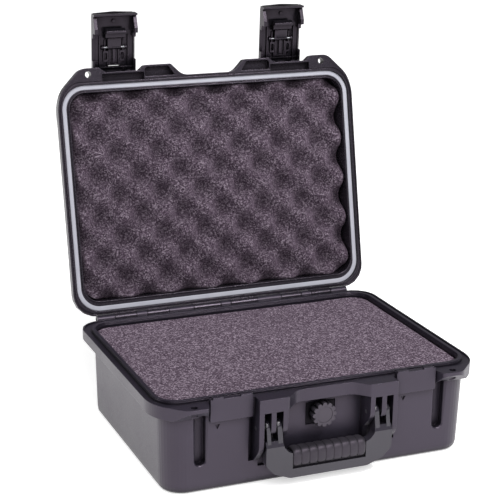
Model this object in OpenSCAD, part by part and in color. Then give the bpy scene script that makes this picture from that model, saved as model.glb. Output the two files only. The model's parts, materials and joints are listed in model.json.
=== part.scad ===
// Hard equipment case, shown open: moulded base and hinged lid, two lever latches, folding handle,
// vent valve, foam fillings. Millimetres, +Z up, origin at the middle of the base's underside.

/* [Case size] */
// Width across the flanges
case_w = 411; // [380:1:440]
// Width of the inside
in_w = 381; // [350:1:400]
// Depth of the inside
in_d = 266.7; // [240:0.1:290]
// Height of the feet
feet = 3; // [1:0.5:6]
// Height of the parting plane above the feet
part_z = 107.6; // [90:0.1:130]
// Height of the closed case above the feet
case_h = 167.6; // [140:0.1:200]
// Shell wall thickness
wall = 3; // [2:0.1:5]

/* [Lid] */
// Angle the lid stands open
lid_open = 102.5; // [80:0.5:120]
// Hinge axis, distance behind the middle
hinge_y = 156; // [150:0.1:165]
// Hinge axis height above the feet
hinge_z = 107; // [100:0.1:112]
// Hinge knuckle radius
knuckle_r = 5.3; // [4:0.1:7]
// Hinge rod radius
rod_r = 2.5; // [2:0.1:3.5]
// Gasket width
gasket_w = 6.4; // [5:0.1:9]
// Gasket thickness
gasket_t = 4.5; // [3:0.1:6]

/* [Latches] */
// Angle each latch stands open from its closed position
latch_open = 75.6; // [60:0.1:90]
// Distance of each latch from the middle
latch_x = 117.2; // [100:0.1:130]
// Width of a latch
latch_w = 58; // [50:0.1:65]
// Latch pivot, distance in front of the middle
latch_y = 154.9; // [150:0.1:158]
// Latch pivot height above the parting plane
latch_rise = 30.7; // [25:0.1:35]
// Latch tip below its pivot
latch_drop = 77.2; // [70:0.1:85]
// Latch pin radius
latch_pin_r = 2; // [1.5:0.1:3]
// Trigger pin radius
trigger_pin_r = 1.2; // [1:0.1:2]

/* [Handle] */
// Distance of each handle bracket from the middle
bracket_x = 69.6; // [60:0.1:80]
// Handle pivot, distance in front of the middle
pivot_y = 152.5; // [150:0.1:156]
// Handle pivot height above the feet
pivot_z = 70; // [60:0.1:80]
// Handle pin radius
handle_pin_r = 2.5; // [2:0.1:3.5]
// Number of ribs on the grip
grip_ribs = 9; // [6:1:12]

/* [Valve] */
// Vent knob radius
knob_r = 15; // [12:0.1:18]
// Number of finger lobes
knob_lobes = 12; // [8:1:16]
// Vent knob height above the feet
valve_z = 72.8; // [60:0.1:85]

/* [Foam] */
// Height of the base foam's top above the feet
foam_top = 105.6; // [90:0.1:107]
// Bottom foam pad thickness
pad_t = 24; // [10:0.5:30]
// Lid foam peaks above the parting plane
peak_rise = 5; // [4:0.5:15]

/* [Hidden] */

eps = 0.4;
gap = 0.3;
fit = 0.06;
round_fn = 64;
hull_fn = 40;

// plan of the shell
in_x = in_w / 2;
in_y = in_d / 2;
in_r = 22;
out_x = in_x + wall;
rear_y = in_y + wall;
front_y = 148;
rear_r = in_r + wall;
front_r = 30;
floor_z = 6;
foot_h = 2;

// plan of the flange
rim_x = case_w / 2;
rim_front = 148.5;
rim_rear = 151.5;
rim_skirt = 12;
ear_y = 163.7;
rim_drop = 15.4;
lid_rim = 11.3;
rim_corners = [[rim_x, rim_rear], [rim_x, -118], [199, -137], [184, -rim_front]];
rim_radii = [29, 60, 30, 20];

// parting face: lip on the base, channel around it, bead at the edge
lip_in = 0.8;
lip_out = 6.5;
lip_h = 2.9;
lip_step = 1.4;
bead_w = 2.5;
channel = 1.5;

// details of the front
flute_x = 151.5;
flute_w = 13;
flute_back = 137;
flute_z = [37.8, 90];
flute_lip = 2.9;
flute_bevel = 3;
niche_x = [87.2, 93];
niche_z = [28, 85.3];
niche_back = 137.5;
mid_x = 51.9;
mid_back = 138;
mid_z = [14, 92.6];
mark_x = -14.4;
mark_z = 77;
mark_w = 3.1;
mark_depth = 2;
keeper_x = [90.5, 142];
keeper_y = [147, 152.6];
keeper_z = [85.3, 112];
tab_top = 113.8;
tab_x = [[-25.5, -11.7], [9, 21.7]];
bay_in = 94.4;
bay_out = 140;
bay_y = 157.4;
base_bay_y = 149.2;
base_bay_out = 142.6;
ear_plate = 4.2;
ear_root_z = 90;
bump_in = 51.4;
bump_out = 86.6;
ear_in = 147.8;
ear_tip = 172;
hole_x = 162.5;
hole_y = 155.7;
hole_r = 4.1;

// handle bracket and handle, measured from the bracket's middle
cheek_w = 17.6;
cheek_front = 163.6;
inner_low = 50;
outer_low = 28.5;
slot_out = 11.6;
slot_in = 3;
slot_top = 91;
slot_back = 142.6;
tongue_low = 65;
prong = [[58.4, 64.2], [73, 77.6]];
prong_r = 9.3;
prong_root = 44;
arm_slope = 6.6;
arm_y = [156, 166.8];
arm_top = 56;
arm_r = [0, 9, 14, 12];
arm_in_r = [0, 0.6, 6, 6, 0];
grip_y = [147.5, 168.5];
grip_z = [19.5, 43];
grip_x = 46.5;
band_z = 8.3;

// valve
valve_disc_y = [137, 139.5];
valve_r = 12.4;
valve_neck = 8;
stem_r = 4;
stem_y = 147;
knob_y = [139.9, 150.6];
pocket_x = 18.5;
pocket_z = [58, 85.5];
pocket_back = 136;

// hinge knuckles: the edges of the segments on one side of the middle, base first
knuckle_x = [7, 45.5, 80, 110, 124.7, 154, 178];
knuckle_gap = 0.3;
hinge_clear = knuckle_r + 0.5;

// lid, closed
lid_face = part_z + gap;
lid_front = 142;
lid_roof = 162.4;
groove_in = 1.7;
groove_w = 1.4;
groove_h = 1;
lip_w = 1.1;
foam_shift = 2.2;
foam_step = 132;
foam_back = 157;
bumper_core = [[46, -149], [54.5, -161.4], [84.6, -161.4], [87, -158.4], [87, -149]];
pocket_y = [145.9, 155.4];
seal_z = part_z + lip_h + gap;
seal_x = 199.8;
seal_front = 142.85;
seal_rear = 145.75;
seal_r = 31;

// latch, closed
latch_z = part_z + latch_rise;
latch_face = 165;
latch_plate = 2.5;
latch_back = 158;
latch_rim = 3;
latch_heel = 6.5;
latch_tip_z = latch_z - latch_drop - 2.6;
hood_back = 149.5;
hood_top = keeper_z[0] - 0.6;
hood_low = latch_tip_z + 2.6;
hood_x = 24.6;
tip_reach = 151.5;
rib_x = [12.2, 19.2];
tube_r = 4.6;
tube_x = 20.4;
lug = [14, 20];
lug_r = 5.2;
window_x = 7.6;
window_z = [9.5, 38];
trig_y = 160.4;
trig_z = latch_z - 34.4;
trig_r = 2.4;
trig_x = 9;
pad_x = 7.2;
oval = [11.2, 22.9, 2.1, 2.6];
hook_x = 13;
boss_x = [14, 17];

// ---------- helpers ----------

// points of a fillet of radius r at corner b between neighbours a and c
function unit(v) = v / norm(v);
function corner(a, b, c, r, n = 5) =
    r <= 0 ? [b] :
    let (u = unit(a - b), v = unit(c - b), half = acos(u * v) / 2)
    let (p = b + u * (r / tan(half)), q = b + v * (r / tan(half)), m = b + unit(u + v) * (r / sin(half)))
    [for (i = [0:n]) m + unit(p * (1 - i / n) + q * (i / n) - m) * r];
function filleted(pts, radii) =
    let (n = len(pts))
    [for (i = [0:n - 1]) each corner(pts[(i + n - 1) % n], pts[i], pts[(i + 1) % n], radii[i])];
function reversed(v) = [for (i = [len(v) - 1:-1:0]) v[i]];
function mirrored(pts) = concat(pts, [for (p = reversed(pts)) [-p[0], p[1]]]);

// the parts are drawn with zero at the top of the feet, and stand on the ground
module lift() {
    translate([0, 0, feet]) children();
}

module both() {
    children();
    mirror([1, 0, 0]) children();
}

// box between two corners
module block(a, b) {
    translate(a) cube(b - a);
}

// rod along X between two stations at (y, z)
module rod(x0, x1, y, z, r) {
    translate([x0, y, z]) rotate([0, 90, 0]) cylinder(r = r, h = x1 - x0, $fn = round_fn);
}

// disc along Y between two depths in front of the middle
module disc(x, z, y0, y1, r) {
    translate([x, -y0, z]) rotate([90, 0, 0]) cylinder(r = r, h = y1 - y0, $fn = round_fn);
}

// extrude a profile drawn in (y, z) along X
module along_x(x0, x1) {
    translate([x0, 0, 0]) rotate([90, 0, 90]) linear_extrude(x1 - x0) children();
}

// extrude a profile drawn in (x, z) between two depths in front of the middle
module along_y(y0, y1) {
    translate([0, -y0, 0]) rotate([90, 0, 0]) linear_extrude(y1 - y0) children();
}

// rounded rectangle between limits
module plan(x, y0, y1, r) {
    translate([-x + r, y0]) square([2 * (x - r), y1 - y0]);
    translate([-x, y0 + r]) square([2 * x, y1 - y0 - 2 * r]);
    for (sx = [-1, 1]) for (y = [y0 + r, y1 - r])
        translate([sx * (x - r), y]) circle(r, $fn = round_fn);
}

module slab(x, y0, y1, r, z0, z1) {
    translate([0, 0, z0]) linear_extrude(z1 - z0) plan(x, y0, y1, r);
}

module ring(x, y0, y1, r, w, z0, z1) {
    difference() {
        slab(x, y0, y1, r, z0, z1);
        slab(x - w, y0 + w, y1 - w, r - w, z0 - 1, z1 + 1);
    }
}

// one level of a hulled body, drawn in by an inset
module level(z, inset, front) {
    for (sx = [-1, 1]) {
        translate([sx * (out_x - front_r), -front + front_r, z])
            cylinder(r = front_r - inset, h = eps, $fn = hull_fn);
        translate([sx * (out_x - rear_r), rear_y - rear_r, z])
            cylinder(r = rear_r - inset, h = eps, $fn = hull_fn);
    }
}

// outline of the flange, drawn in by an inset
function rim_outline(inset) = filleted(
    mirrored([for (p = rim_corners) [p[0] - inset, p[1] - sign(p[1]) * inset]]),
    concat(rim_radii, reversed(rim_radii)));

module rim_plate(z0, z1, inset) {
    translate([0, 0, z0]) linear_extrude(z1 - z0) polygon(rim_outline(inset));
}

// outline of the flange's front: bumpers, latch bays and ears
edge_pts = [[36, -rim_front], [bump_in, -ear_y], [bump_out, -ear_y], [bay_in, -bay_y], [bay_out, -bay_y],
    [ear_in, -ear_y], [ear_tip, -ear_y], [199, -137], [rim_x - 0.05, -118], [rim_x - 0.05, -100],
    [180, -100], [180, -138]];
edge_r = [18, 4, 2, 2, 2, 5, 18, 38, 60, 0, 0, 0];
front_edge = filleted(mirrored(edge_pts), concat(edge_r, reversed(edge_r)));
bay = [[niche_x[0], -ear_y], [niche_x[0], -base_bay_y], [base_bay_out, -base_bay_y]];
base_edge_pts = [for (i = [0:len(edge_pts) - 1]) i > 1 && i < 5 ? bay[i - 2] : edge_pts[i]];
base_edge_r = [18, 4, 1.2, 1, 2, 5, 18, 38, 60, 0, 0, 0];
base_edge = filleted(mirrored(base_edge_pts), concat(base_edge_r, reversed(base_edge_r)));

// hinge knuckles of one half, as spans [from, to]
function spans(first) = [for (i = [first:2:len(knuckle_x) - 1]) for (s = i == 0 ? [1] : [-1, 1])
    let (a = i == 0 ? -knuckle_x[0] : knuckle_x[i - 1]) s > 0 ? [a, knuckle_x[i]] : [-knuckle_x[i], -a]];

module knuckles(first, low, high) {
    for (s = spans(first)) {
        rod(s[0] + knuckle_gap, s[1] - knuckle_gap, hinge_y, hinge_z, knuckle_r);
        block([s[0] + knuckle_gap, rim_rear - 2, low], [s[1] - knuckle_gap, hinge_y, high]);
    }
}

// clearance for the other half's knuckles
module hinge_cut(first) {
    for (s = spans(first)) rod(s[0] - knuckle_gap, s[1] + knuckle_gap, hinge_y, hinge_z, hinge_clear);
}

// place something modelled with the case closed
module lid_pose() {
    translate([0, hinge_y, hinge_z]) rotate([-lid_open, 0, 0]) translate([0, -hinge_y, -hinge_z]) children();
}

module latch_pose() {
    lid_pose() translate([0, -latch_y, latch_z]) rotate([-latch_open, 0, 0])
        translate([0, latch_y, -latch_z]) children();
}

// children built for the right side, moved to the left one
module side(s) {
    if (s > 0) children();
    else mirror([1, 0, 0]) children();
}

// ---------- base ----------

function cheek(low) = filleted([[-139, 104], [-cheek_front, 104], [-cheek_front, low + 17], [-front_y, low],
    [-139, low]], [0, 0, 16, 3, 0]);

module bracket() {
    translate([bracket_x, 0, 0]) difference() {
        union() {
            along_x(-cheek_w, slot_out) polygon(cheek(inner_low));
            along_x(slot_out - 0.1, cheek_w) polygon(cheek(outer_low));
        }
        for (s = [-1, 1]) block([s > 0 ? slot_in : -slot_out, -cheek_front - 1, tongue_low - 1],
            [s > 0 ? slot_out : -slot_in, -slot_back, slot_top]);
        block([-slot_out, -cheek_front - 1, 20], [slot_out, -slot_back, tongue_low]);
    }
}

module keeper() {
    block([keeper_x[0], -keeper_y[1], keeper_z[0]], [keeper_x[1], -keeper_y[0], keeper_z[1]]);
    for (t = tab_x) block([latch_x + t[0], -keeper_y[1], keeper_z[1] - 1],
        [latch_x + t[1], -keeper_y[0] - 1, tab_top]);
}

module base_front_cuts() {
    // flute beside the corner
    block([flute_x - flute_w / 2, -170, flute_z[0]], [flute_x + flute_w / 2, -flute_back, flute_z[1]]);
    for (z = flute_z) disc(flute_x, z, flute_back, 170, flute_w / 2);
    // its bevelled edge
    inner = flute_w / 2;
    outer = inner + flute_lip * (1 + 0.5 / flute_bevel);
    translate([flute_x, 0, flute_z[0]]) linear_extrude(flute_z[1] - flute_z[0]) polygon([
        [-inner, flute_bevel - front_y], [-outer, -front_y - 0.5], [outer, -front_y - 0.5],
        [inner, flute_bevel - front_y]]);
    for (z = flute_z) translate([flute_x, flute_bevel - front_y, z]) rotate([90, 0, 0])
        cylinder(h = flute_bevel + 0.5, r1 = inner, r2 = outer, $fn = round_fn);
    // niche beside the bracket
    block([niche_x[0], -170, niche_z[0]], [niche_x[1], -niche_back, niche_z[1]]);
}

// arrow marks under the keepers
module marks() {
    for (s = [-1, 1]) along_y(front_y - mark_depth, front_y + 1) translate([s * latch_x + mark_x, mark_z])
        polygon([[-mark_w, mark_w], [mark_w, mark_w], [0, -mark_w]]);
}

module base_shell() {
    color([0.16, 0.16, 0.17]) lift() difference() {
        union() {
            difference() {
                union() {
                    hull() {
                        level(-feet, 9, front_y - 3);
                        level(1.2 - feet, 5.5, front_y - 1.2);
                        level(4 - feet, 3.2, front_y - 0.4);
                        level(9 - feet, 2.3, front_y);
                        level(part_z - 10, 0, front_y);
                    }
                    rim_plate(part_z - rim_skirt - 1, part_z, 0);
                    // sloped underside of the flange
                    hull() {
                        rim_plate(part_z - 2 * rim_skirt, part_z - 2 * rim_skirt + 1, rim_skirt);
                        rim_plate(part_z - rim_skirt - 1, part_z - rim_skirt, 0.5);
                    }
                    translate([0, 0, part_z - rim_drop]) linear_extrude(rim_drop) polygon(base_edge);
                }
                // the ears thin out towards the front
                both() along_x(base_bay_out - 0.5, rim_x + 1) polygon([[-170, part_z - ear_plate],
                    [-ear_y, part_z - ear_plate], [-rim_front, ear_root_z], [-rim_front, 60], [-170, 60]]);
                both() base_front_cuts();
                marks();
                block([-mid_x, -170, mid_z[0]], [mid_x, -mid_back, mid_z[1]]);
                both() block([bracket_x - slot_out, -170, 20], [bracket_x + slot_out, -slot_back, slot_top]);
            }
            both() bracket();
            both() keeper();
            // hinge side
            knuckles(0, hinge_z - knuckle_r, hinge_z);
            for (s = spans(0))
                block([s[0] + 2, rear_y - 1, part_z - 30], [s[0] + 4.5, rim_rear - 4, part_z - 12]);
            // lip
            ring(in_x + lip_out, -in_y - lip_out, in_y + lip_out, in_r + lip_out, lip_out - lip_in,
                part_z - 2, part_z + lip_step);
            ring(in_x + lip_out - lip_in, -in_y - lip_out + lip_in, in_y + lip_out - lip_in,
                in_r + lip_out - lip_in, lip_out - 3 * lip_in, part_z - 2, part_z + lip_h);
        }
        // inside
        slab(in_x, -in_y, in_y, in_r, floor_z, part_z + 10);
        // underside: feet stand proud of a shallow recess
        slab(in_x - 22, -in_y + 22, in_y - 22, 12, -feet - 1, foot_h);
        // channel around the lip
        difference() {
            slab(rim_x - bead_w, -rim_front + bead_w, rim_rear - bead_w, 26, part_z - channel, part_z + 1);
            slab(in_x + lip_out, -in_y - lip_out, in_y + lip_out, in_r + lip_out, part_z - 3, part_z + 2);
            both() block([keeper_x[0] - 1, -170, part_z - 4], [keeper_x[1] + 1, -keeper_y[0] + 1, part_z + 4]);
            block([-190, -170, part_z - 4], [190, -rim_front + 4, part_z + 4]);
        }
        hinge_cut(1);
        rod(-in_x, in_x, hinge_y, hinge_z, rod_r + fit);
        both() rod(bracket_x - cheek_w - 1, bracket_x + cheek_w + 1, -pivot_y, pivot_z, handle_pin_r + fit);
        both() translate([hole_x, -hole_y, part_z - 30]) cylinder(r = hole_r, h = 40, $fn = round_fn);
        // vent pocket and its hole
        block([-pocket_x, -150, pocket_z[0]], [pocket_x, -pocket_back, pocket_z[1]]);
        disc(0, valve_z, 130, 150, valve_neck + fit);
    }
}

module foam_block(z0, z1) {
    slab(in_x - gap, -in_y + gap, in_y - gap, in_r, z0, z1);
}

module base_foam_pad() {
    color([0.3, 0.27, 0.31]) lift() foam_block(floor_z, floor_z + pad_t);
}

module base_foam_lower() {
    color([0.34, 0.3, 0.34]) lift() foam_block(floor_z + pad_t, (floor_z + pad_t + foam_top) / 2);
}

module base_foam_upper() {
    color([0.36, 0.32, 0.37]) lift() foam_block((floor_z + pad_t + foam_top) / 2, foam_top);
}

module hinge_rod() {
    color([0.72, 0.72, 0.74]) lift() rod(-knuckle_x[6] + 1, knuckle_x[6] - 1, hinge_y, hinge_z, rod_r);
}

module handle_pin() {
    rod(bracket_x - cheek_w, bracket_x + cheek_w, -pivot_y, pivot_z, handle_pin_r);
}

module handle_pin_left() {
    color([0.6, 0.6, 0.62]) lift() side(-1) handle_pin();
}

module handle_pin_right() {
    color([0.6, 0.6, 0.62]) lift() side(1) handle_pin();
}

// ---------- valve ----------

module valve_body() {
    color([0.2, 0.2, 0.21]) lift() {
        disc(0, valve_z, in_y + 0.1, valve_disc_y[1], valve_neck);
        disc(0, valve_z, valve_disc_y[0], valve_disc_y[1], valve_r);
        block([-pocket_x + 0.8, -valve_disc_y[0] - 0.8, pocket_z[0] + 0.8],
            [pocket_x - 0.8, -valve_disc_y[0], pocket_z[1] - 0.8]);
        disc(0, valve_z, valve_disc_y[1] - 1, stem_y, stem_r);
    }
}

module valve_seal() {
    color([0.1, 0.1, 0.1]) lift() difference() {
        disc(0, valve_z, pocket_back, valve_disc_y[0], valve_r - 0.6);
        disc(0, valve_z, pocket_back - 1, valve_disc_y[0] + 1, valve_neck + 0.4);
    }
}

module valve_knob() {
    color([0.14, 0.14, 0.15]) lift() difference() {
        union() {
            disc(0, valve_z, knob_y[0], knob_y[1], knob_r - 3);
            for (i = [0:knob_lobes - 1]) {
                a = i * 360 / knob_lobes;
                disc((knob_r - 2.8) * cos(a), valve_z + (knob_r - 2.8) * sin(a), knob_y[0], knob_y[1], 2.8);
            }
        }
        disc(0, valve_z, knob_y[0] - 1, stem_y + 0.4, stem_r + gap);
        // dished middle
        disc(0, valve_z, knob_y[1] - 0.6, knob_y[1] + 1, knob_r - 5);
    }
}

// ---------- handle ----------

arm_half = [[79.4, arm_top], [79.4, 27], [69, 16], [49, band_z]];
arm_in = [[grip_x, grip_z[0]], [grip_x, 39], [51.5, 41], [57, 47.5], [58.6, arm_top]];
arm_outline = filleted(concat(arm_half, reversed([for (p = arm_half) [-p[0], p[1]]]),
    reversed([for (p = arm_in) [-p[0], p[1]]]), arm_in),
    concat(arm_r, reversed(arm_r), reversed(arm_in_r), arm_in_r));

module handle_frame() {
    color([0.17, 0.17, 0.18]) lift() {
        difference() {
            union() {
                difference() {
                    along_y(arm_y[0], arm_y[1]) polygon(arm_outline);
                    along_x(-90, 90) polygon([[-arm_y[1] - 0.5, arm_top - arm_slope - 1.1],
                        [-arm_y[1] + 3, arm_top + 0.1], [-arm_y[1] - 0.5, arm_top + 0.1]]);
                }
                // core inside the grip
                along_y(arm_y[0] + 1.5, arm_y[1] - 3) translate([-grip_x - 1, grip_z[0] - 1])
                    square([2 * grip_x + 2, grip_z[1] - grip_z[0] - 3]);
                both() for (p = prong) {
                    rod(p[0], p[1], -pivot_y, pivot_z, prong_r);
                    along_x(p[0], p[1]) polygon([[-pivot_y, pivot_z], [-pivot_y + 6, pivot_z - 7],
                        [-arm_y[0], prong_root + 2], [-arm_y[0], prong_root], [-arm_y[1], prong_root],
                        [-arm_y[1], prong_root + 1], [-pivot_y - prong_r, pivot_z]]);
                }
            }
            both() rod(40, 90, -pivot_y, pivot_z, handle_pin_r + fit);
        }
    }
}

grip_profile = filleted([[-grip_y[0], grip_z[0] + 1], [-grip_y[1], grip_z[0] + 1], [-grip_y[1], grip_z[1]],
    [-grip_y[0], grip_z[1]]], [6, 5, 8, 8]);
core_profile = filleted([[-grip_y[0] - 1.2, grip_z[0] + 1], [-grip_y[1] + 1.2, grip_z[0] + 1],
    [-grip_y[1] + 1.2, grip_z[1] - 1.2], [-grip_y[0] - 1.2, grip_z[1] - 1.2]], [5, 4, 7, 7]);

module handle_grip() {
    pitch = 2 * (grip_x - 1) / grip_ribs;
    color([0.12, 0.12, 0.13]) lift() difference() {
        union() {
            along_x(-grip_x + 0.5, grip_x - 0.5) polygon(core_profile);
            for (i = [0:grip_ribs - 1]) {
                x = -grip_x + 1 + i * pitch;
                along_x(x + 0.9, x + pitch - 0.9) polygon(grip_profile);
            }
        }
        block([-grip_x, -arm_y[1] + 3, grip_z[0] - 1], [grip_x, -arm_y[0] - 1.5, grip_z[1] - 4]);
    }
}

// ---------- lid (built closed) ----------

heel = [[-4.2, -6.6], [-4.2, -2], [0, 0], [2.5, -4.4]];

// inset of the lid's walls at some heights above the parting plane
dome = [[36, 0.6], [44, 2.4], [49, 5.4], [52.6, 9.6], [54.2, 13.5]];

module lid_cavity() {
    hull() for (t = concat([[0, 0]], dome)) {
        i = t[1];
        z = part_z + t[0] - (t[1] > 0 ? wall + 0.4 : 20);
        for (sx = [-1, 1]) for (sy = [-1, 1])
            translate([sx * (in_x - in_r), sy * (in_y - in_r), z])
                cylinder(r = in_r - i, h = eps, $fn = hull_fn);
    }
}

module lid_closed() {
    difference() {
        union() {
            hull() {
                level(lid_face + 4, 0, lid_front);
                for (t = dome) level(part_z + t[0] + 0.6, t[1], lid_front);
            }
            rim_plate(lid_face, lid_face + lid_rim - 1.5, 0);
            rim_plate(lid_face, lid_face + lid_rim, 1.5);
            translate([0, 0, lid_face]) linear_extrude(lid_rim) polygon(front_edge);
            // stacking ribs on the top
            for (x = [-130, -65, 0, 65, 130]) block([x - 6, -88, lid_roof - 1], [x + 6, 88, case_h - 2]);
            ring(174, -118, 116, 14, 7, lid_roof - 1, case_h);
            knuckles(1, lid_face, hinge_z + knuckle_r);
            for (s = spans(1)) translate([0, hinge_y, hinge_z]) rotate([lid_open, 0, 0])
                along_x(s[0] + knuckle_gap, s[1] - knuckle_gap) polygon(heel);
            // latch lugs
            both() for (s = [-1, 1]) {
                x0 = latch_x + (s > 0 ? lug[0] : -lug[1]);
                x1 = latch_x + (s > 0 ? lug[1] : -lug[0]);
                rod(x0, x1, -latch_y, latch_z, lug_r);
                along_x(x0, x1) polygon([[-latch_y, latch_z + lug_r], [-lid_front + 3, latch_z + lug_r - 1],
                    [-lid_front + 3, lid_face + 5], [-latch_y + 3, lid_face + 5],
                    [-latch_y - 3.5, latch_z - 4]]);
            }
        }
        lid_cavity();
        // coring of the bumpers
        both() translate([0, 0, lid_face - 1]) linear_extrude(8.5) polygon(bumper_core);
        // room for the base's lip
        slab(in_x + lip_out + 0.5, -in_y - lip_out - 0.5, in_y + lip_out + 0.5, in_r + lip_out,
            lid_face - 20, seal_z + gap);
        // gasket groove
        ring(seal_x + 0.1, -seal_front - 0.1, seal_rear + 0.1, seal_r, gasket_w + 0.2,
            lid_face - 20, seal_z + gasket_t + 0.1);
        // line around the parting face
        difference() {
            rim_plate(lid_face - 1, lid_face + groove_h, groove_in);
            rim_plate(lid_face - 2, lid_face + groove_h + 1, groove_in + groove_w);
        }
        // pockets over the keepers
        both() block([keeper_x[0] - 2.5, -pocket_y[1], lid_face - 1],
            [keeper_x[1] + 2.5, -pocket_y[0], tab_top + 1.7]);
        hinge_cut(0);
        rod(-in_x, in_x, hinge_y, hinge_z, rod_r + fit);
        both() translate([hole_x, -hole_y, lid_face - 5]) cylinder(r = hole_r, h = 40, $fn = round_fn);
        both() rod(latch_x - 40, latch_x + 40, -latch_y, latch_z, latch_pin_r + fit);
    }
}

module lid_shell() {
    color([0.16, 0.16, 0.17]) lift() lid_pose() {
        lid_closed();
        // thin lip beside the foam
        ring(in_x + lip_w, -in_y - lip_w, in_y + lip_w, in_r + lip_w, lip_w + 0.2, part_z + lip_step + 0.4,
            seal_z + 2);
    }
}

module lid_gasket() {
    color([0.72, 0.72, 0.75]) lift() lid_pose()
        ring(seal_x, -seal_front, seal_rear, seal_r, gasket_w, seal_z, seal_z + gasket_t);
}

module lid_foam() {
    color([0.3, 0.29, 0.32]) lift() lid_pose() {
        translate([foam_shift, 0, 0]) slab(in_x - 1 - foam_shift, -in_y + 1, in_y - 1, in_r - 1,
            part_z + peak_rise, foam_step);
        slab(in_x - 12, -in_y + 12, in_y - 12, in_r - 10, foam_step - 1, foam_back);
    }
}

module latch_pin() {
    rod(latch_x - latch_w / 2 + latch_rim, latch_x + latch_w / 2 - latch_rim, -latch_y, latch_z, latch_pin_r);
}

module latch_pin_left() {
    color([0.7, 0.7, 0.72]) lift() lid_pose() side(-1) latch_pin();
}

module latch_pin_right() {
    color([0.7, 0.7, 0.72]) lift() lid_pose() side(1) latch_pin();
}

// ---------- latch (built closed, on the right side) ----------

hood = [[-latch_face + 1, hood_low], [-latch_face + 1, hood_top + 6], [-latch_back - 0.5, hood_top + 6],
    [-latch_back + 1, hood_top], [-hood_back, hood_top], [-hood_back, hood_top - 6],
    [-latch_back + 1, hood_low]];

module latch_body() {
    half = latch_w / 2;
    top = latch_z + latch_heel;
    difference() {
        translate([latch_x, 0, 0]) union() {
            // face plate with rounded ends
            along_y(latch_face - latch_plate, latch_face) polygon(filleted([[-half, latch_tip_z + 1.5],
                [0, latch_tip_z], [half, latch_tip_z + 1.5], [half, top], [-half, top]], [4, 80, 4, 3, 3]));
            // side rims, end rims
            for (s = [-1, 1]) block([s > 0 ? half - latch_rim : -half, -latch_face + 1, latch_tip_z + 4],
                [s > 0 ? half : -half + latch_rim, -latch_back, top - 1]);
            block([-half + 1, -latch_face + 1, latch_tip_z + 2], [half - 1, -latch_back, latch_tip_z + 4.6]);
            block([-half + 1, -latch_face + 1, top - 3], [half - 1, -latch_back - 2.1, top - 0.5]);
            // hood that tucks under the keeper
            for (s = [-1, 1]) along_x(s > 0 ? hood_x : -half + 0.01, s > 0 ? half - 0.01 : -hood_x)
                polygon(hood);
            // tip wall, a shallow scoop between the hood's walls
            along_x(-half + 0.01, half - 0.01) polygon([[-latch_face + 1, latch_tip_z + 1.6],
                [-latch_face + 1, latch_tip_z + 7], [-latch_back, latch_tip_z + 5.2],
                [-tip_reach, latch_tip_z + 4], [-tip_reach, latch_tip_z + 1.6]]);
            // stiffening ribs on the inside
            for (s = [-1, 1]) {
                block([s * rib_x[0] - 0.7, -latch_face + 1, latch_z - 44],
                    [s * rib_x[0] + 0.7, -latch_back - 2.4, latch_z - 30]);
                block([s * rib_x[1] - 0.7, -latch_face + 1, latch_z - 50],
                    [s * rib_x[1] + 0.7, -latch_back - 2.2, latch_z - 5]);
                block([s * oval[0] - 3.2, -latch_face + 1, latch_z - oval[1] - 7],
                    [s * oval[0] + 3.2, -latch_back - 2.4, latch_z - oval[1] + 7]);
            }
            block([-half + 1, -latch_face + 1, latch_z - 9.1],
                [half - 1, -latch_back - 2.2, latch_z - 7.7]);
            disc(0, latch_z - 68, latch_back + 2.4, latch_face - 1, 2.2);
            // pin tubes
            for (s = [-1, 1]) {
                x0 = s > 0 ? tube_x : -half + latch_rim - 0.5;
                x1 = s > 0 ? half - latch_rim + 0.5 : -tube_x;
                rod(x0, x1, -latch_y, latch_z, tube_r);
                block([x0, -latch_face + 1, latch_z - tube_r], [x1, -latch_y, latch_z + tube_r]);
            }
            // trigger bosses
            for (s = [-1, 1]) {
                x0 = s > 0 ? boss_x[0] : -boss_x[1];
                x1 = s > 0 ? boss_x[1] : -boss_x[0];
                rod(x0, x1, -trig_y, trig_z, trig_r);
                block([x0, -latch_face + 1, trig_z - trig_r], [x1, -trig_y, trig_z + trig_r]);
            }
            // frame round the trigger window
            for (s = [-1, 1]) block([s > 0 ? window_x : -window_x - 1.6, -latch_face + 1, trig_z + 4.5],
                [s > 0 ? window_x + 1.6 : -window_x, -latch_back - 2.6, latch_z - window_z[0]]);
        }
        // trigger window
        block([latch_x - window_x, -latch_face - 1, latch_z - window_z[1]],
            [latch_x + window_x, -latch_back + 10, latch_z - window_z[0]]);
        // oval hollows beside the window
        for (s = [-1, 1]) for (e = [-1, 1])
            disc(latch_x + s * oval[0], latch_z - oval[1] + e * oval[3], latch_back, latch_face - 2, oval[2]);
        for (s = [-1, 1]) block([latch_x + s * oval[0] - oval[2], -latch_face + 2, latch_z - oval[1] - oval[3]],
            [latch_x + s * oval[0] + oval[2], -latch_back, latch_z - oval[1] + oval[3]]);
        // room for the flanges and for the hook
        translate([0, -0.6, part_z - rim_drop - 0.8]) linear_extrude(rim_drop + lid_rim + 2)
            polygon(front_edge);
        rod(latch_x - half + 2, latch_x + half - 2, -latch_y, latch_z, latch_pin_r + fit);
        rod(latch_x - boss_x[1] - 1, latch_x + boss_x[1] + 1, -trig_y, trig_z, trigger_pin_r + fit);
        // dished face
        along_y(latch_face - 0.7, latch_face + 1) translate([latch_x, 0]) polygon(filleted(
            [[-half + 5, latch_tip_z + 6], [half - 5, latch_tip_z + 6], [half - 5, hood_top + 14],
            [-half + 5, hood_top + 14]], [5, 5, 5, 5]));
    }
}

module trigger_pin() {
    rod(latch_x - boss_x[1], latch_x + boss_x[1], -trig_y, trig_z, trigger_pin_r);
}

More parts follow.
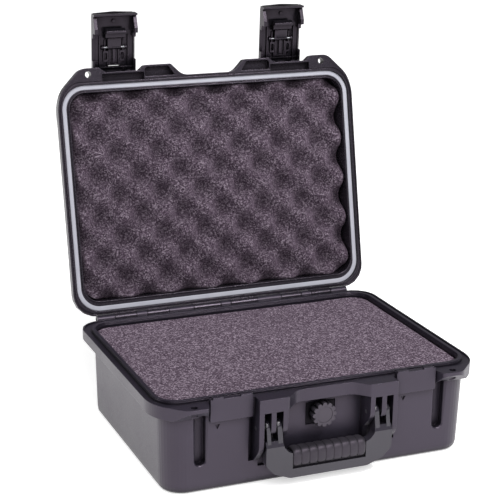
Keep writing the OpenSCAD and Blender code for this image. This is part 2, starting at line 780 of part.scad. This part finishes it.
arm = [[-trig_y - 1.6, trig_z + 3], [-trig_y + 2.2, trig_z + 1], [-latch_back - 0.1, hood_top + 7],
    [-latch_back - 1.6, hood_top + 7]];
hook = filleted([[-latch_back - 1.6, hood_top + 8], [-latch_back + 0.1, hood_top + 7.4],
    [-keeper_y[1] - 1.2, hood_top + 5.6], [-keeper_y[1] - 1.2, hood_top], [-hood_back - 0.3, hood_top],
    [-hood_back - 0.3, hood_top - 3.2], [-latch_back + 1.2, hood_top - 6.5]], [0, 0, 0, 0, 0.4, 1, 1]);

module latch_trigger() {
    translate([latch_x, 0, 0]) difference() {
        union() {
            rod(-pad_x, pad_x, -trig_y, trig_z, trig_r);
            // press pad, with ribs to grip outside and a frame and a stem inside
            block([-pad_x, -latch_face + 0.4, trig_z - 2], [pad_x, -latch_face + 2.6, trig_z + 23.5]);
            for (i = [0:4]) block([-pad_x + 2, -latch_face - 0.2, trig_z + 4 + 3.4 * i],
                [pad_x - 2, -latch_face + 1, trig_z + 5.6 + 3.4 * i]);
            for (x = [-pad_x, pad_x - 1.4])
                block([x, -latch_face + 1, trig_z - 2], [x + 1.4, -trig_y, trig_z + 23.5]);
            block([-pad_x, -latch_face + 1, trig_z + 22], [pad_x, -trig_y, trig_z + 23.5]);
            block([-1.8, -latch_face + 1, trig_z - 1], [1.8, -trig_y + 0.6, trig_z + 20]);
            along_x(-trig_x, trig_x) polygon(arm);
            along_x(-hook_x, hook_x) polygon(hook);
        }
        rod(-hook_x, hook_x, -trig_y, trig_z, trigger_pin_r + fit);
    }
}

module latch_body_left() {
    color([0.18, 0.18, 0.19]) lift() latch_pose() side(-1) latch_body();
}

module latch_body_right() {
    color([0.18, 0.18, 0.19]) lift() latch_pose() side(1) latch_body();
}

module trigger_pin_left() {
    color([0.7, 0.7, 0.72]) lift() latch_pose() side(-1) trigger_pin();
}

module trigger_pin_right() {
    color([0.7, 0.7, 0.72]) lift() latch_pose() side(1) trigger_pin();
}

module latch_trigger_left() {
    color([0.2, 0.2, 0.21]) lift() latch_pose() side(-1) latch_trigger();
}

module latch_trigger_right() {
    color([0.2, 0.2, 0.21]) lift() latch_pose() side(1) latch_trigger();
}

base_shell();
base_foam_pad();
base_foam_lower();
base_foam_upper();
hinge_rod();
handle_pin_left();
handle_pin_right();
valve_body();
valve_seal();
valve_knob();
handle_frame();
handle_grip();
lid_shell();
lid_gasket();
lid_foam();
latch_pin_left();
latch_pin_right();
latch_body_left();
latch_body_right();
trigger_pin_left();
trigger_pin_right();
latch_trigger_left();
latch_trigger_right();
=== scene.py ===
# The hard equipment case: materials, foam, grip, light and camera, over the pieces of the frame.
import json
import math

import bmesh
import bpy
from mathutils import Matrix, Vector, noise


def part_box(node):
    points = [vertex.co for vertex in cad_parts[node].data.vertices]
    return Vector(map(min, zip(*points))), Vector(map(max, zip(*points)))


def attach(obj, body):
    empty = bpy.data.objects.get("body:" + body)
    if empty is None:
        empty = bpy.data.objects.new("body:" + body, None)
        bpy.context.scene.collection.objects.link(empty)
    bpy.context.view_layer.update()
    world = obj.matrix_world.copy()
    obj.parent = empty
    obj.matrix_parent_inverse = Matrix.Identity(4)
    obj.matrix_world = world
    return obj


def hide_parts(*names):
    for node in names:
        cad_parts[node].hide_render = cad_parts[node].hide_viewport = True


MM = 0.001
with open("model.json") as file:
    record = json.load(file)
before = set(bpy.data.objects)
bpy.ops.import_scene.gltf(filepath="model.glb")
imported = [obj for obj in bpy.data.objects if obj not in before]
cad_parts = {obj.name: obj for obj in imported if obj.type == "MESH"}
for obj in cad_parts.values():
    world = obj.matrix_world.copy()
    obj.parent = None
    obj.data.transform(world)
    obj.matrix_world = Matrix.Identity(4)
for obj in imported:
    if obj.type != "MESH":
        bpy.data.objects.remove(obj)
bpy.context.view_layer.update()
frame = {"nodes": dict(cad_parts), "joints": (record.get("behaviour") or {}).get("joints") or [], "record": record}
NODES = frame["nodes"]
JOINTS = {j["name"]: j for j in frame["joints"]}
HINGE = Vector(JOINTS["lid_hinge"]["pos_m"])
LID_OPEN = math.radians(JOINTS["lid_hinge"]["range_deg"][1])
# takes what is built with the lid shut to where the open lid stands at rest
OPEN = Matrix.Translation(HINGE) @ Matrix.Rotation(-LID_OPEN, 4, "X") @ Matrix.Translation(-HINGE)


# ---------- objects ----------
def add(name, data):
    """A new object in the scene."""
    obj = bpy.data.objects.new(name, data)
    bpy.context.scene.collection.objects.link(obj)
    return obj


def add_solid(name, shape):
    """A new smooth object from a closed bmesh, which is used up."""
    bmesh.ops.recalc_face_normals(shape, faces=shape.faces)
    mesh = bpy.data.meshes.new(name)
    shape.to_mesh(mesh)
    shape.free()
    mesh.polygons.foreach_set("use_smooth", [True] * len(mesh.polygons))
    return add(name, mesh)


# ---------- material nodes ----------
class Mat:
    """A material whose nodes are added one call at a time."""

    def __init__(self, name):
        self.material = bpy.data.materials.new(name)
        self.material.use_nodes = True
        self.tree = self.material.node_tree
        self.shader = self.tree.nodes["Principled BSDF"]
        self.place = self.tree.nodes.new("ShaderNodeTexCoord").outputs["Object"]

    def feed(self, socket, value):
        """Link another node's output to a socket, or set the socket itself."""
        if isinstance(value, bpy.types.NodeSocket):
            self.tree.links.new(value, socket)
        else:
            socket.default_value = value

    def node(self, kind, **inputs):
        added = self.tree.nodes.new("ShaderNode" + kind)
        for key, value in inputs.items():
            self.feed(added.inputs[key.replace("_", " ")], value)
        return added

    def noise(self, scale, detail=3.0, rough=0.55, distort=0.0):
        added = self.node("TexNoise", Vector=self.place, Scale=scale, Detail=detail, Roughness=rough,
                          Distortion=distort)
        return added.outputs["Fac"]

    def cells(self, scale, out="Distance"):
        return self.node("TexVoronoi", Vector=self.place, Scale=scale).outputs[out]

    def ramp(self, value, start, end, falling=False):
        """0 up to start and 1 from end on, or the other way round where it is falling."""
        added = self.tree.nodes.new("ShaderNodeValToRGB")
        levels = (1.0, 0.0) if falling else (0.0, 1.0)
        for element, position, level in zip(added.color_ramp.elements, (start, end), levels):
            element.position = position
            element.color = (level, level, level, 1)
        self.tree.links.new(value, added.inputs["Fac"])
        return added.outputs["Color"]

    def mix(self, share, first, second):
        """The first colour, with a share of the second. Each may be a colour or an output."""
        added = self.tree.nodes.new("ShaderNodeMix")
        added.data_type = "RGBA"
        # of this node's inputs 6 and 7 are the colours A and B, and output 2 is the mixed colour
        for index, value in ((0, share), (6, first), (7, second)):
            self.feed(added.inputs[index], (*value, 1) if isinstance(value, tuple) else value)
        return added.outputs[2]

    def calc(self, operation, first, second):
        added = self.tree.nodes.new("ShaderNodeMath")
        added.operation = operation
        self.feed(added.inputs[0], first)
        self.feed(added.inputs[1], second)
        return added.outputs[0]

    def vary(self, rough, value, span):
        """A roughness that a value between 0 and 1 moves up and down over a span."""
        around = self.calc("SUBTRACT", value, 0.5)
        return self.calc("ADD", self.calc("MULTIPLY", around, span), rough)

    def bump(self, height, strength, distance, normal=None):
        added = self.node("Bump", Strength=strength, Distance=distance, Height=height)
        if normal is not None:
            self.tree.links.new(normal, added.inputs["Normal"])
        return added.outputs["Normal"]

    def edge_normal(self, radius):
        """The surface's normal with its edges rounded."""
        added = self.node("Bevel", Radius=radius)
        added.samples = 6
        return added.outputs["Normal"]

    def edge_mask(self, edge_normal):
        """1 on worn edges and 0 on flats: how far the rounded normal leaves the true one."""
        surface = self.tree.nodes.new("ShaderNodeNewGeometry")
        dot = self.tree.nodes.new("ShaderNodeVectorMath")
        dot.operation = "DOT_PRODUCT"
        self.tree.links.new(edge_normal, dot.inputs[0])
        self.tree.links.new(surface.outputs["Normal"], dot.inputs[1])
        return self.ramp(dot.outputs["Value"], 0.80, 0.985, falling=True)

    def painted_recess_shade(self, distance):
        """Painted shade in recesses: 0 deep in a recess, where the shade is painted darkest, 1 on an open face."""
        added = self.node("AmbientOcclusion", Distance=distance)
        added.samples = 6
        return self.ramp(added.outputs["AO"], 0.42, 0.90)

    def set(self, **values):
        for key, value in values.items():
            self.feed(self.shader.inputs[key.replace("_", " ")], value)
        return self.material


def scaled(color, factor):
    return tuple(factor * c for c in color)


# ---------- plastics and rubber ----------
SCUFFED = 0.07  # how much of a lighter colour the scuffs show
WORN = 0.225  # and the worn edges
RECESS = 14 * MM  # painted shade: a recess about this narrow is painted dark
# painted shade: in recesses the reflection is tinted down to the first of these, and on open faces it takes the
# second
PAINTED_SHADE_TINT, OPEN_TINT = (0.30, 0.25, 0.31), (0.95, 0.80, 0.99)


def plastic(name, dark, light, rough, grain, grain_depth, edge, specular=0.5, coat=0.0):
    """Moulded plastic between two colours, scuffed, worn at its edges and finely grained, and painted darker as
    shade in its recesses.
    """
    mat = Mat(name)
    rounded = mat.edge_normal(edge)
    worn = mat.edge_mask(rounded)
    cloud = mat.noise(9.0, 4.0)
    fine = mat.noise(grain, 2.0, 0.6)
    speck = mat.noise(420.0, 2.0, 0.7)
    scuff = mat.ramp(mat.noise(60.0, 6.0, 0.7, 1.5), 0.56, 0.74)
    unshaded_share = mat.painted_recess_shade(RECESS)

    color = mat.mix(mat.ramp(cloud, 0.3, 0.7), dark, light)
    color = mat.mix(mat.calc("MULTIPLY", scuff, SCUFFED), color, scaled(light, 1.9))
    color = mat.mix(mat.calc("MULTIPLY", worn, WORN), color, scaled(light, 2.4))
    # painted shade: the colour is darkened and the reflection dimmed deep in recesses
    color = mat.mix(unshaded_share, scaled(dark, 0.35), color)
    tint = mat.mix(unshaded_share, PAINTED_SHADE_TINT, OPEN_TINT)

    roughness = mat.vary(mat.vary(rough, cloud, 0.22), speck, 0.16)
    roughness = mat.calc("SUBTRACT", roughness, mat.calc("MULTIPLY", worn, 0.10))

    normal = mat.bump(fine, grain_depth, 0.12 * MM, rounded)
    normal = mat.bump(mat.noise(26.0, 3.0), 0.10, 0.5 * MM, normal)
    mat.set(Base_Color=color, Roughness=roughness, Normal=normal, IOR=1.49)
    return mat.set(Specular_IOR_Level=specular, Coat_Weight=coat, Coat_Roughness=0.10, Specular_Tint=tint)


# grain is in cells per metre
PLASTICS = {
    "case_plastic": dict(dark=(0.012, 0.0105, 0.016), light=(0.019, 0.0165, 0.025), rough=0.36,
                         grain=1500.0, grain_depth=0.5, edge=1.0 * MM),
    # painted shade: the lid is the case's own plastic, made darker for the shade on the open lid's face
    "lid_plastic": dict(dark=(0.009, 0.008, 0.011), light=(0.015, 0.0132, 0.018), rough=0.27,
                        grain=1500.0, grain_depth=0.35, edge=1.0 * MM),
    "latch_plastic": dict(dark=(0.004, 0.0036, 0.0048), light=(0.008, 0.0072, 0.0096), rough=0.22,
                          grain=1100.0, grain_depth=0.2, edge=0.5 * MM, specular=0.42),
    "handle_plastic": dict(dark=(0.015, 0.0135, 0.019), light=(0.023, 0.021, 0.029), rough=0.34,
                           grain=1300.0, grain_depth=0.3, edge=0.6 * MM, specular=0.15, coat=0.8),
    "grip_rubber": dict(dark=(0.014, 0.013, 0.016), light=(0.023, 0.021, 0.026), rough=0.50,
                        grain=900.0, grain_depth=0.5, edge=0.5 * MM, specular=0.4),
    # painted shade: for the valve's body, near black and dull, standing in for the shade of the pocket it sits in
    "vent_plate_shaded": dict(dark=(0.004, 0.004, 0.005), light=(0.007, 0.006, 0.008), rough=0.45,
                       grain=1100.0, grain_depth=0.2, edge=0.5 * MM, specular=0.12),
    "vent_plastic": dict(dark=(0.024, 0.022, 0.027), light=(0.036, 0.033, 0.040), rough=0.42,
                         grain=1200.0, grain_depth=0.4, edge=0.4 * MM),
}


# ---------- foam, steel and gasket ----------
FOAM_DARK = (0.018, 0.012, 0.018)
FOAM_SPECK = (0.36, 0.30, 0.36)
FOAM_CELLS = 520.0  # per metre


def foam_material(name, light, sparkle):
    """Open-celled foam with bright specks, and painted darker, as shade, where its shade attribute is high."""
    mat = Mat(name)
    cells = mat.cells(FOAM_CELLS)
    wide_cells = mat.cells(FOAM_CELLS * 0.55)
    chance = mat.node("SeparateColor", Color=mat.cells(FOAM_CELLS * 1.25, "Color"))
    grains = mat.ramp(mat.noise(FOAM_CELLS, 2.0, 0.6), 0.36, 0.62)
    speck = mat.ramp(chance.outputs[0], 0.58, 0.97)
    cloud = mat.ramp(mat.noise(14.0, 4.0), 0.3, 0.7)
    valley_shade = mat.node("Attribute")
    valley_shade.attribute_name = "valley_shade"

    color = mat.mix(mat.ramp(cells, 0.15, 0.75), light, FOAM_DARK)
    color = mat.mix(mat.calc("MULTIPLY", mat.calc("SUBTRACT", 1.0, grains), 0.7), color, FOAM_DARK)
    color = mat.mix(mat.calc("MULTIPLY", cloud, 0.25), color, FOAM_DARK)
    color = mat.mix(mat.calc("MULTIPLY", speck, sparkle), color, FOAM_SPECK)
    # painted shade: darker where the attribute marks the egg-crate's valleys
    color = mat.mix(mat.calc("MULTIPLY", valley_shade.outputs["Fac"], 0.72), color, scaled(FOAM_DARK, 0.35))

    normal = mat.bump(wide_cells, 0.55, 1.2 * MM, mat.bump(cells, 0.9, 0.9 * MM))
    mat.set(Base_Color=color, Roughness=0.95, Normal=normal, IOR=1.4)
    mat.set(Specular_IOR_Level=0.2, Specular_Tint=(0.9, 0.7, 0.9, 1.0))
    return mat.set(Sheen_Weight=0.12, Sheen_Roughness=0.5, Sheen_Tint=(0.85, 0.62, 0.85, 1.0))


def steel_material(name):
    """Drawn steel, streaked along X, which is the way that the pins lie."""
    mat = Mat(name)
    stretch = mat.node("Mapping", Vector=mat.place, Scale=(0.04, 1.0, 1.0))
    streak = mat.node("TexNoise", Vector=stretch.outputs[0], Scale=240.0, Detail=3.0).outputs["Fac"]
    color = mat.mix(streak, (0.16, 0.16, 0.17), (0.30, 0.30, 0.32))
    roughness = mat.calc("ADD", mat.calc("MULTIPLY", streak, 0.25), 0.22)
    normal = mat.bump(streak, 0.12, 0.1 * MM, mat.edge_normal(0.3 * MM))
    return mat.set(Base_Color=color, Roughness=roughness, Metallic=1.0, Normal=normal)


def gasket_material(name):
    mat = Mat(name)
    color = mat.mix(mat.noise(30.0, 4.0), (0.26, 0.26, 0.30), (0.37, 0.37, 0.415))
    normal = mat.bump(mat.cells(900.0), 0.35, 0.25 * MM, mat.edge_normal(1.2 * MM))
    return mat.set(Base_Color=color, Roughness=0.62, Normal=normal, IOR=1.45, Specular_IOR_Level=0.35)


MATS = {name: plastic(name, **look) for name, look in PLASTICS.items()}
MATS["foam"] = foam_material("foam", (0.146, 0.110, 0.144), sparkle=0.66)
MATS["lid_foam"] = foam_material("lid_foam", (0.146, 0.108, 0.146), sparkle=0.45)
MATS["gasket_rubber"] = gasket_material("gasket_rubber")
MATS["pin_steel"] = steel_material("pin_steel")

# ---------- the frame's own pieces ----------
SLOT_OF = {s["node"]: s["material_slot"] for s in frame["record"]["subparts"]}
# the valve's body takes the near-black plate, painted as the pocket's shade
SLOT_OF["valve_body"] = "vent_plate_shaded"
CREASE = math.radians(32)  # an edge that turns more than this is sharp
ROUNDING = {"handle_frame": 1.6 * MM, "lid_gasket": 1.2 * MM, "valve_knob": 0.5 * MM, "valve_body": 0.3 * MM}
for side in ("left", "right"):
    ROUNDING["latch_body_" + side] = 0.4 * MM
    ROUNDING["latch_trigger_" + side] = 0.35 * MM


def smooth(obj):
    """Shade the round stretches smooth and keep the sharp edges."""
    shape = bmesh.new()
    shape.from_mesh(obj.data)
    for face in shape.faces:
        face.smooth = True
    for edge in shape.edges:
        edge.smooth = len(edge.link_faces) == 2 and edge.calc_face_angle(0.0) < CREASE
    shape.to_mesh(obj.data)
    shape.free()


def round_edges(obj, width):
    """Merge the faceted mesh into whole faces, then round its sharp edges."""
    weld = obj.modifiers.new("weld", "WELD")
    weld.merge_threshold = 0.005 * MM
    flat = obj.modifiers.new("flat", "DECIMATE")
    flat.decimate_type = "DISSOLVE"
    flat.angle_limit = math.radians(1.0)
    bevel = obj.modifiers.new("bevel", "BEVEL")
    bevel.width = width
    bevel.segments = 2
    bevel.limit_method = "ANGLE"
    bevel.angle_limit = CREASE
    bevel.harden_normals = False
    bevel.use_clamp_overlap = True
    bevel.miter_outer = "MITER_ARC"


for name, obj in NODES.items():
    obj.data.materials.clear()
    obj.data.materials.append(MATS[SLOT_OF[name]])
    if name in ROUNDING:
        round_edges(obj, ROUNDING[name])
    else:
        smooth(obj)


# ---------- foam blocks ----------
def inset(x, y, half_x, half_y, radius):
    """How far a point is inside a rounded rectangle around the origin."""
    past_x, past_y = abs(x) - (half_x - radius), abs(y) - (half_y - radius)
    if past_x > 0 and past_y > 0:
        return radius - math.hypot(past_x, past_y)
    return min(half_x - abs(x), half_y - abs(y))


def foam_solid(name, low, high, radius, top, step, edge):
    """A closed block over a rounded rectangle, whose upper surface, top(x, y), falls off at the edge."""
    mid_x, mid_y = (low.x + high.x) / 2, (low.y + high.y) / 2
    half_x, half_y = (high.x - low.x) / 2, (high.y - low.y) / 2
    across, along = round(2 * half_x / step), round(2 * half_y / step)
    shape = bmesh.new()
    upper, lower = {}, {}
    for j in range(along + 1):
        for i in range(across + 1):
            x, y = (-1 + 2 * i / across) * half_x, (-1 + 2 * j / along) * half_y
            past_x, past_y = abs(x) - (half_x - radius), abs(y) - (half_y - radius)
            if past_x > 0 and past_y > 0:
                # pull the corners of the grid in onto the rounded outline
                pull = max(past_x, past_y) / math.hypot(past_x, past_y)
                x = math.copysign(half_x - radius + past_x * pull, x)
                y = math.copysign(half_y - radius + past_y * pull, y)
            fall = max(0.0, edge - max(0.0, inset(x, y, half_x, half_y, radius))) ** 2 / edge / 2
            z = top(mid_x + x, mid_y + y) - fall
            upper[i, j] = shape.verts.new((mid_x + x, mid_y + y, z))
            lower[i, j] = shape.verts.new((mid_x + x, mid_y + y, low.z))
    for j in range(along):
        for i in range(across):
            square = ((i, j), (i + 1, j), (i + 1, j + 1), (i, j + 1))
            shape.faces.new([upper[corner] for corner in square])
            shape.faces.new([lower[corner] for corner in reversed(square)])
    rim = [(i, 0) for i in range(across)] + [(across, j) for j in range(along)]
    rim += [(i, along) for i in range(across, 0, -1)] + [(0, j) for j in range(along, 0, -1)]
    for a, b in zip(rim, rim[1:] + rim[:1]):
        shape.faces.new((lower[a], lower[b], upper[b], upper[a]))
    return add_solid(name, shape)


def uneven(x, y, patches, seed):
    """About 0 to 1, in so many patches per metre. Each seed has a pattern of its own."""
    return 0.5 + 0.5 * noise.noise(Vector((x * patches, y * patches, seed)))


def flat_top(level, wobble):
    """The top of a cut block, uneven by up to a wobble and different at each level."""
    def top(x, y):
        return level - wobble * uneven(x, y, CUT_PATCH, level * 90)
    return top


def finish_foam(obj, body, node, look="foam"):
    obj.data.materials.append(MATS[look])
    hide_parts(node)
    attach(obj, body)


FOAM_CORNER = 21 * MM
CUT_PATCH = 22  # uneven patches per metre
for node in ("base_foam_pad", "base_foam_lower", "base_foam_upper"):
    low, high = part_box(node)
    # the top of the upper layer is all that shows, so the others are plainer
    in_sight = node == "base_foam_upper"
    wobble, step, edge = (0.9 * MM, 4 * MM, 3.0 * MM) if in_sight else (0.2 * MM, 10 * MM, 0.5 * MM)
    piece = foam_solid(node + "_visual", low, high, FOAM_CORNER, flat_top(high.z, wobble), step, edge)
    finish_foam(piece, "base", node)

# ---------- the lid's egg-crate foam ----------
EGG_X, EGG_Y = 56.8 * MM, 54 * MM  # from peak to peak, with another peak halfway between four
EGG_START = (-13.8 * MM, -79.5 * MM)  # where one peak is, with the lid shut
EGG_DEPTH = 22 * MM
EGG_FULLNESS = 0.85  # 1 is a plain wave, and less makes the peaks and valleys broader
EGG_WOBBLE = 1.4 * MM
EGG_PATCH = 30  # uneven patches per metre


def lid_foam():
    """Built with the lid shut and upside down, so that its peaks point up, then turned onto the open lid."""
    shut = [OPEN.inverted() @ v.co for v in NODES["lid_foam"].data.vertices]
    low = Vector([min(p[i] for p in shut) for i in range(3)])
    high = Vector([max(p[i] for p in shut) for i in range(3)])
    peak = low.z

    def top(x, y):
        turn_x, turn_y = math.tau * (x - EGG_START[0]) / EGG_X, math.tau * (y - EGG_START[1]) / EGG_Y
        wave = math.cos(turn_x) * math.cos(turn_y)
        height = 0.5 + 0.5 * math.copysign(abs(wave) ** EGG_FULLNESS, wave)
        return -peak - EGG_DEPTH * (1 - height) - EGG_WOBBLE * uneven(x, y, EGG_PATCH, 3.0)

    flipped_low, flipped_high = Vector((low.x, low.y, -high.z)), Vector((high.x, high.y, -low.z))
    radius, step, edge = FOAM_CORNER - 1 * MM, 3.2 * MM, 2.5 * MM
    piece = foam_solid("lid_foam_visual", flipped_low, flipped_high, radius, top, step, edge)
    piece.data.transform(OPEN @ Matrix.Diagonal((1, 1, -1, 1)))
    piece.data.flip_normals()
    # painted shade: how deep each point lies in the egg-crate's valleys, for the foam to paint darker
    valley_shade = piece.data.attributes.new("valley_shade", "FLOAT", "POINT")
    shades = []
    for vertex in piece.data.vertices:
        depth = ((OPEN.inverted() @ vertex.co).z - peak) / EGG_DEPTH
        valley = min(1.0, max(0.0, depth - 0.25) / 0.75)
        shades.append(0.14 + 0.66 * valley ** 1.6)
    valley_shade.data.foreach_set("value", shades)
    finish_foam(piece, "lid", "lid_foam", "lid_foam")


lid_foam()

# ---------- grip ----------
GRIP_RIBS = 9
GRIP_POINTS = 56  # around each ring
GRIP_GROOVE = 1.2 * MM
GRIP_END, GRIP_END_LENGTH = 0.9 * MM, 5 * MM  # how far, and over what length, it narrows at its ends
SQUARENESS = 3.2  # of the ring, which is an ellipse at 2
# where a rib's rings are along it, closer together near the grooves
RIB_STEPS = (0.0, 0.03, 0.08, 0.16, 0.28, 0.42, 0.58, 0.72, 0.84, 0.92, 0.97)


def ring_point(angle, half_y, half_z):
    """A point of a rounded rectangle."""
    cos, sin = math.cos(angle), math.sin(angle)
    y = math.copysign(abs(cos) ** (2 / SQUARENESS), cos) * half_y
    z = math.copysign(abs(sin) ** (2 / SQUARENESS), sin) * half_z
    return y, z


def grip():
    """The handle's soft grip: rings along X, each drawn in by its groove and near the ends."""
    low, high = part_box("handle_grip")
    mid, half = (low + high) / 2, (high - low) / 2
    length = 2 * half.x
    shape = bmesh.new()
    rings = []
    for share in [(rib + step) / GRIP_RIBS for rib in range(GRIP_RIBS) for step in RIB_STEPS] + [1.0]:
        crown = abs(math.sin(math.pi * ((share * GRIP_RIBS) % 1.0))) ** 0.32
        near_end = max(0.0, 1 - min(share, 1 - share) * length / GRIP_END_LENGTH)
        drawn_in = GRIP_GROOVE * (1 - crown) + GRIP_END * near_end ** 2
        ring = []
        for j in range(GRIP_POINTS):
            y, z = ring_point(math.tau * j / GRIP_POINTS, half.y - drawn_in, half.z - drawn_in)
            ring.append(shape.verts.new((low.x + share * length, mid.y + y, mid.z + z)))
        rings.append(ring)
    for a, b in zip(rings, rings[1:]):
        for j in range(GRIP_POINTS):
            k = (j + 1) % GRIP_POINTS
            shape.faces.new((a[j], a[k], b[k], b[j]))
    shape.faces.new(rings[0])
    shape.faces.new(list(reversed(rings[-1])))
    obj = add_solid("handle_grip_visual", shape)
    obj.data.materials.append(MATS["grip_rubber"])
    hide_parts("handle_grip")
    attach(obj, "handle")


grip()


# ---------- floor ----------
def floor_material():
    mat = Mat("studio_floor")
    color = mat.mix(mat.noise(3.0, 3.0), (0.90, 0.90, 0.90), (0.94, 0.94, 0.94))
    mat.set(Base_Color=color, Roughness=0.85, Specular_IOR_Level=0.1)
    return mat.set(Emission_Color=(1.0, 1.0, 1.0, 1.0), Emission_Strength=0.5)


def floor():
    """A plain floor, a little below the feet so that the two never coincide."""
    shape = bmesh.new()
    bmesh.ops.create_grid(shape, x_segments=8, y_segments=8, size=30.0)
    mesh = bpy.data.meshes.new("studio_floor")
    shape.to_mesh(mesh)
    shape.free()
    mesh.materials.append(floor_material())
    obj = add("studio_floor", mesh)
    obj.location.z = -0.2 * MM


# ---------- light ----------
LIGHT_TARGET = Vector((0, 0, 0.2))


def area_light(name, place, size, power):
    data = bpy.data.lights.new(name, "AREA")
    data.size = size
    data.energy = power
    obj = add(name, data)
    obj.location = place
    obj.rotation_euler = (LIGHT_TARGET - Vector(place)).to_track_quat("-Z", "Y").to_euler()


def sun_light(name, toward, strength, spread):
    data = bpy.data.lights.new(name, "SUN")
    data.energy = strength
    data.angle = math.radians(spread)
    obj = add(name, data)
    obj.rotation_euler = Vector(toward).to_track_quat("Z", "Y").to_euler()


def world_light(strength):
    world = bpy.data.worlds.new("studio")
    bpy.context.scene.world = world
    world.use_nodes = True
    background = world.node_tree.nodes["Background"]
    background.inputs["Color"].default_value = (1, 1, 1, 1)
    background.inputs["Strength"].default_value = strength


# ---------- camera ----------
CAMERA_PLACE = Vector((-684.5, -1516.7, 736.9)) * MM
AZIMUTH, ELEVATION, ROLL = (math.radians(a) for a in (21.509, 18.756, 0.46))
SENSOR, LENS = 36.0, 104.169  # in millimetres
SHIFT_X, SHIFT_Y = 0.083534, 0.091968


def camera():
    data = bpy.data.cameras.new("camera")
    data.sensor_width = SENSOR
    data.lens = LENS
    data.shift_x, data.shift_y = SHIFT_X, SHIFT_Y
    data.clip_end = 100.0
    obj = add("camera", data)
    turn = Matrix.Rotation(-AZIMUTH, 4, "Z") @ Matrix.Rotation(math.pi / 2 - ELEVATION, 4, "X")
    obj.matrix_world = Matrix.Translation(CAMERA_PLACE) @ turn @ Matrix.Rotation(ROLL, 4, "Z")
    bpy.context.scene.camera = obj


bpy.context.scene.view_settings.view_transform = "Standard"
floor()
world_light(0.22)
sun_light("sky", (-0.15, -0.95, 0.85), 2.7, 60.0)
area_light("glint", (0.7, -1.05, 1.7), 0.30, 24)
area_light("edge", (-1.4, 0.6, 1.4), 0.5, 9)
camera()
